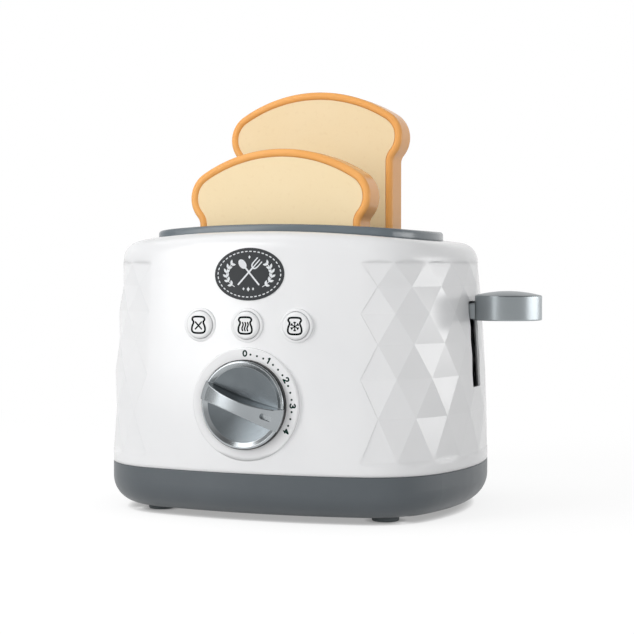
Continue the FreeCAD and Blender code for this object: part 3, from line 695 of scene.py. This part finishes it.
def numeralStrokes():
    # for 0 to 4, each stroke's points and whether it closes on itself
    wide, high = dialPrint["zeroHalf"]
    zero = [(wide * sin(radians(a)), high * cos(radians(a))) for a in range(0, 360, 15)]
    flag = [(-0.50, 0.80), (0.10, 1.33)]
    stem = [(0.10, 1.33), (0.10, -1.33)]
    two = [(-0.85, 0.70), (-0.55, 1.20), (0.05, 1.35), (0.70, 1.10), (0.85, 0.55),
           (0.50, -0.10), (-0.30, -0.75), (-0.90, -1.33)]
    twoFoot = [(-0.90, -1.33), (0.95, -1.33)]
    threeTop = [(-0.80, 0.95), (-0.30, 1.32), (0.30, 1.30), (0.75, 0.90), (0.65, 0.35), (0, 0.08)]
    threeFoot = [(0, 0.08), (0.75, -0.20), (0.90, -0.75), (0.45, -1.28), (-0.20, -1.35),
                 (-0.90, -0.95)]
    fourStem = [(0.40, -1.33), (0.40, 1.33)]
    fourSlope = [(0.40, 1.33), (-0.95, -0.50)]
    fourBar = [(-0.95, -0.50), (0.95, -0.50)]
    return [
        [(zero, True)],
        [(flag, False), (stem, False)],
        [(smoothLine(two), False), (twoFoot, False)],
        [(smoothLine(threeTop), False), (smoothLine(threeFoot), False)],
        [(fourStem, False), (fourSlope, False), (fourBar, False)],
    ]


def printDial():
    numerals = Print("dial_numerals", "housing", onFace("dial_plate"), "greenInk")
    dots = Print("dial_dots", "housing", onFace("dial_plate"), "greenInk")
    size = dialPrint["dotSize"]
    allStrokes = numeralStrokes()
    for number, strokes in enumerate(allStrokes):
        angle = number * dialPrint["numeralStep"]
        for line, closed in strokes:
            raised = [(x, y + dialPrint["numeralRadius"]) for x, y in line]
            numerals.stroke(turned(raised, -angle), dialPrint["stroke"], closed)
        if number == len(allStrokes) - 1:
            break               # no dots after the last numeral
        for after in dialPrint["dotsAfter"]:
            dot = ovalLine(size, size, 12, (0, dialPrint["dotRadius"]))
            dots.patch(turned(dot, -angle - after))
    numerals.finish()
    dots.finish()


buttonPrint = {
    "outline": 0.98,
    "line": 0.76,
    "crossHalf": (1.66, 1.74),
    "crossDown": 0.36,
    "waveGap": 1.36,
    "waveTop": 1.45,
    "waveFoot": -2.60,
    "waveSwing": 0.30,
    "flakeDown": 0.27,
    "flakeRadius": 2.2,
    "flakeArm": 0.7,            # the arms' and tips' widths as shares of the line
    "flakeTip": 0.6,
    "flakeFork": (0.25, 0.62, 0.95),    # a tip's half width, foot and end as shares of the arm
}


def breadOutline():
    half = [(0, 4.14), (2.56, 3.96), (3.28, 3.30), (3.37, 2.54), (2.71, 1.29), (3.51, -0.93),
            (3.60, -2.94), (2.56, -3.96), (0, -4.19)]
    return smoothLine(mirrored(half), True, 5)


def startIcon(name, button, body):
    icon = Print(name, body, onFace(button), "blackInk")
    icon.stroke(breadOutline(), buttonPrint["outline"], True)
    return icon


def cancelIcon():
    icon = startIcon("cancel_icon", "cancel_button", "cancel_key")
    x, z = buttonPrint["crossHalf"]
    down = buttonPrint["crossDown"]
    for side in (1, -1):
        icon.stroke([(-x * side, -z - down), (x * side, z - down)], buttonPrint["line"])
    icon.finish()


def reheatIcon():
    icon = startIcon("reheat_icon", "reheat_button", "reheat_key")
    top, foot = buttonPrint["waveTop"], buttonPrint["waveFoot"]
    bends = 8
    for k in (-1, 0, 1):
        wave = []
        for i in range(bends + 1):
            swing = buttonPrint["waveSwing"] * sin(2 * pi * i / bends)
            wave.append((k * buttonPrint["waveGap"] + swing, top + (foot - top) * i / bends))
        icon.stroke(smoothLine(wave, False, 3), buttonPrint["line"])
    icon.finish()


def defrostIcon():
    icon = startIcon("defrost_icon", "defrost_button", "defrost_key")
    reach = buttonPrint["flakeRadius"]
    arm = buttonPrint["line"] * buttonPrint["flakeArm"]
    tip = buttonPrint["line"] * buttonPrint["flakeTip"]
    half, low, high = (share * reach for share in buttonPrint["flakeFork"])
    middle = (0, -buttonPrint["flakeDown"])
    for k in range(6):
        icon.stroke(turned([(0, 0), (0, reach)], 60 * k, middle), arm)
        icon.stroke(turned([(-half, high), (0, low)], 60 * k, middle), tip)
        icon.stroke(turned([(0, low), (half, high)], 60 * k, middle), tip)
    icon.finish()


badgePrint = {
    "ring": (17.1, 11.5),
    "dashes": 40,
    "dashLine": 0.55,
    "toolHalf": 8.3,
    "toolTurn": 42.0,
    "toolLine": 0.85,
    "toolUp": 1.0,
    "toolNeck": 3,
    "spoonBowl": (1.8, 2.8),
    "yoke": ((-1.6, 3.2), (-1.2, 4.7), (0, 5.3), (1.2, 4.7), (1.6, 3.2)),  # down from the tip
    "yokeLine": 0.8,            # the yoke's and tines' widths as shares of the handle's
    "tines": ((-1.6, 3.2), (0, 5.2), (1.6, 3.2)),
    "tineBend": 1.6,
    "tineLine": 0.7,
    "sprig": (12.4, 8.0),
    "sprigTurns": (-52, 96),    # degrees, where it starts and how far it goes
    "sprigLine": 0.35,
    "leaves": 6,
    "leaf": (2.7, 0.62),
    "leafSpread": 38,
    "diamonds": ((0, -7.6, 1.2), (-2.6, -7.4, 0.8), (2.6, -7.4, 0.8), (0, 8.6, 0.9)),
    "diamondShape": 0.7,
}


def printBadgeBorder():
    border = Print("badge_border", "housing", onSkin("badge_plate"), "whiteInk")
    stops = ovalLine(*badgePrint["ring"], 8 * badgePrint["dashes"])
    for k in range(badgePrint["dashes"]):
        border.stroke(stops[8 * k:8 * k + 4], badgePrint["dashLine"])
    border.finish()


def handle(badge, turn, centre):
    half = badgePrint["toolHalf"]
    reach = half + badgePrint["toolNeck"]
    line = [(0, -half + i * reach / 8) for i in range(9)]
    badge.stroke(turned(line, turn, centre), badgePrint["toolLine"])


def spoon(badge, turn, centre):
    handle(badge, turn, centre)
    wide, high = badgePrint["spoonBowl"]
    bowl = ovalLine(wide, high, 20, (0, badgePrint["toolHalf"] - high))
    badge.patch(turned(bowl, turn, centre))


def fork(badge, turn, centre):
    handle(badge, turn, centre)
    tip = badgePrint["toolHalf"]
    line = badgePrint["toolLine"]
    yoke = smoothLine([(x, tip - down) for x, down in badgePrint["yoke"]])
    badge.stroke(turned(yoke, turn, centre), line * badgePrint["yokeLine"])
    for x, down in badgePrint["tines"]:
        tine = [(x, tip - down), (x, tip - badgePrint["tineBend"]), (x, tip)]
        badge.stroke(turned(tine, turn, centre), line * badgePrint["tineLine"])


def leafOutline():
    length, half = badgePrint["leaf"]
    side = [(half * sin(pi * i / 6), length * i / 6) for i in range(7)]
    return side + [(-x, y) for x, y in reversed(side[1:-1])]


def sprig(badge, side):
    wide, high = badgePrint["sprig"]
    start, sweep = badgePrint["sprigTurns"]
    bends = 4 * badgePrint["leaves"]
    stem = []
    for i in range(bends + 1):
        a = radians(start + sweep * i / bends)
        stem.append(Vector((side * wide * cos(a), high * sin(a))))
    badge.stroke(stem, badgePrint["sprigLine"])
    for i in range(2, bends, 4):
        along = stem[i + 1] - stem[i - 1]
        lean = degrees(along.angle_signed(Vector((0, 1)), 0.0))
        for spread in (-badgePrint["leafSpread"], badgePrint["leafSpread"]):
            badge.patch(turned(leafOutline(), lean + spread, stem[i]))


def printBadgeMotif():
    badge = Print("badge_motif", "housing", onSkin("badge_plate"), "whiteInk")
    centre = (0, badgePrint["toolUp"])
    spoon(badge, badgePrint["toolTurn"], centre)
    fork(badge, -badgePrint["toolTurn"], centre)
    for side in (-1, 1):
        sprig(badge, side)
    for x, y, high in badgePrint["diamonds"]:
        wide = badgePrint["diamondShape"] * high
        badge.patch([(x, y + high), (x + wide, y), (x, y - high), (x - wide, y)])
    badge.finish()


floorLook = {
    "size": 6.0,
    "shade": 0.54,              # what lights the object from below
    "seenShade": 0.24,          # the share of the seen floor that takes soft shadows
    "glow": 0.82,               # and the share that glows, darkened only by a painted contact shadow
    # how far the painted contact shadow reaches, in metres
    "contact": 0.0045,
    "contactSamples": 12,
    "near": 0.3,                # metres from the middle where it turns to plain white
    "far": 0.6,
}


def floorShade(place, level):
    return place.node("BsdfDiffuse", None, {"Color": (level, level, level, 1)})


def layFloor():
    size = floorLook["size"]
    mesh = bpy.data.meshes.new("floor")
    corners = [(-size, -size, 0), (size, -size, 0), (size, size, 0), (-size, size, 0)]
    mesh.from_pydata(corners, [], [(0, 1, 2, 3)])
    floor = bpy.data.objects.new("floor", mesh)
    bpy.context.scene.collection.objects.link(floor)
    material, shader, place = startFinish("paleFloor")
    matt = floorShade(place, floorLook["shade"])
    shown = floorShade(place, floorLook["seenShade"])
    samples = {"samples": floorLook["contactSamples"]}
    reach = {"Distance": floorLook["contact"]}
    # painted contact shadow: ambient occlusion dims the floor's glow close under the object
    paintedContactShadow = place.node("AmbientOcclusion", samples, reach, "Color")
    glow = place.node("Emission", None, {"Color": paintedContactShadow, "Strength": floorLook["glow"]})
    near = place.node("AddShader", None, {0: shown, 1: glow})
    white = place.node("Emission", None, {"Strength": 1.0})
    away = place.node("VectorMath", {"operation": "LENGTH"}, {0: place}, "Value")
    far = ramp(away, floorLook["near"], floorLook["far"])
    pale = place.node("MixShader", None, {0: far, 1: near, 2: white})
    path = place.node("LightPath", output="Is Camera Ray")
    seen = path.math("MAXIMUM", path.other("Is Glossy Ray"))
    seen = seen.math("MAXIMUM", path.other("Is Transmission Ray"))
    both = place.node("MixShader", None, {0: seen, 1: matt, 2: pale})
    tree = material.node_tree
    tree.links.new(both.socket, tree.nodes["Material Output"].inputs["Surface"])
    tree.nodes.remove(shader)
    floor.data.materials.append(material)


surround = {
    "diffuse": 0.50,
    "behind": 1.0,              # what gloss sees behind the object
    "before": 0.52,             # in front of it
    "above": 0.35,              # and overhead, as a share of that
    "turnsOver": (-0.3, 0.3),
    "risesOver": (0.4, 0.7),
}


def lightWorld():
    # the camera sees white all round; gloss sees white behind and a dimmer room in front
    world = bpy.data.worlds.new("studio")
    bpy.context.scene.world = world
    world.use_nodes = True
    tree = world.node_tree
    towards = Wire(tree).node("TexCoord", output="Generated")
    back = towards.node("SeparateXYZ", None, {0: towards}, "Y")
    depth = surround["behind"] - surround["before"]
    room = surround["before"] + depth * ramp(back, *surround["turnsOver"])
    room = room * (1 - (1 - surround["above"]) * ramp(back.other("Z"), *surround["risesOver"]))
    path = towards.node("LightPath", output="Is Camera Ray")
    gloss = path.other("Is Glossy Ray").math("MAXIMUM", path.other("Is Transmission Ray"))
    plain = surround["diffuse"] * (1 - path.math("MAXIMUM", gloss))
    level = plain + path + room * gloss
    sky = tree.nodes["Background"]
    sky.inputs["Color"].default_value = (1, 1, 1, 1)
    tree.links.new(level.socket, sky.inputs["Strength"])


placeCamera()
layFloor()
lightWorld()
for name, lamp in lamps.items():
    hangLamp(name, **lamp)
bpy.context.scene.view_settings.view_transform = "Standard"
dressFrame()
print("stage set")

printDial()
cancelIcon()
reheatIcon()
defrostIcon()
printBadgeBorder()
printBadgeMotif()
print("marks printed")
